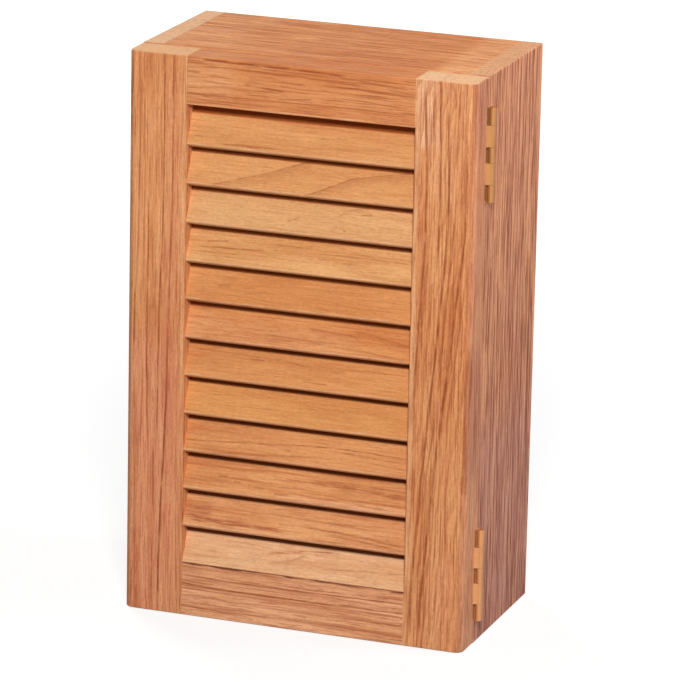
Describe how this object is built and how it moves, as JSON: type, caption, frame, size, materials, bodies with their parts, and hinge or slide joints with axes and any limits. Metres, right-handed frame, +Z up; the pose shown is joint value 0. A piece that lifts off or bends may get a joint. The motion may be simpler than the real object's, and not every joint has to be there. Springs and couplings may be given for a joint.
{
  "type": "louvred door cabinet",
  "caption": "Small teak wall cabinet with one louvred door on brass butt hinges at the right, a fixed shelf and a magnetic catch.",
  "frame": {"origin": "centre of the carcass base, on the surface that the cabinet stands on; the door is left out of the centring", "axes": "+Z up; the door faces -Y and the back panel faces +Y; the hinges are on the +X side"},
  "size_m": [0.2555, 0.1408, 0.4],
  "materials": {
    "carcass_teak": "satin oiled teak, grain upright",
    "top_teak": "satin oiled teak, grain left to right",
    "stile_teak": "satin oiled teak, grain upright",
    "rail_teak": "satin oiled teak, grain left to right",
    "slat_teak": "satin oiled teak, grain along the slat",
    "shelf_teak": "satin oiled teak, grain left to right",
    "back_ply": "satin oiled teak-faced panel, grain upright",
    "hinge_brass": "satin brass",
    "pin_brass": "satin brass",
    "screw_brass": "turned brass",
    "catch_nickel": "nickel plated",
    "catch_steel": "zinc plated"
  },
  "bodies": {
    "case": {"left_side_panel": "carcass_teak", "right_side_panel": "carcass_teak", "top_panel": "top_teak", "bottom_panel": "top_teak", "back_panel": "back_ply", "shelf": "shelf_teak", "upper_hanging_rail": "shelf_teak", "lower_hanging_rail": "shelf_teak", "upper_hinge_case_leaf": "hinge_brass", "lower_hinge_case_leaf": "hinge_brass", "upper_hinge_pin": "pin_brass", "lower_hinge_pin": "pin_brass", "hinge_case_screws": "screw_brass", "catch_magnet": "catch_nickel"},
    "door": {"door_left_stile": "stile_teak", "door_right_stile": "stile_teak", "door_top_rail": "rail_teak", "door_bottom_rail": "rail_teak", "louvre_slat_01": "slat_teak", "louvre_slat_02": "slat_teak", "louvre_slat_03": "slat_teak", "louvre_slat_04": "slat_teak", "louvre_slat_05": "slat_teak", "louvre_slat_06": "slat_teak", "louvre_slat_07": "slat_teak", "louvre_slat_08": "slat_teak", "louvre_slat_09": "slat_teak", "louvre_slat_10": "slat_teak", "louvre_slat_11": "slat_teak", "louvre_slat_12": "slat_teak", "upper_hinge_door_leaf": "hinge_brass", "lower_hinge_door_leaf": "hinge_brass", "hinge_door_screws": "screw_brass", "strike_disc": "catch_steel"}
  },
  "joints": [
    {"name": "door_hinge", "type": "hinge", "parent": "case", "child": "door", "pos_m": [0.1281, -0.0579, 0.2], "axis": [0, 0, 1], "range_deg": [0, 195]}
  ]
}
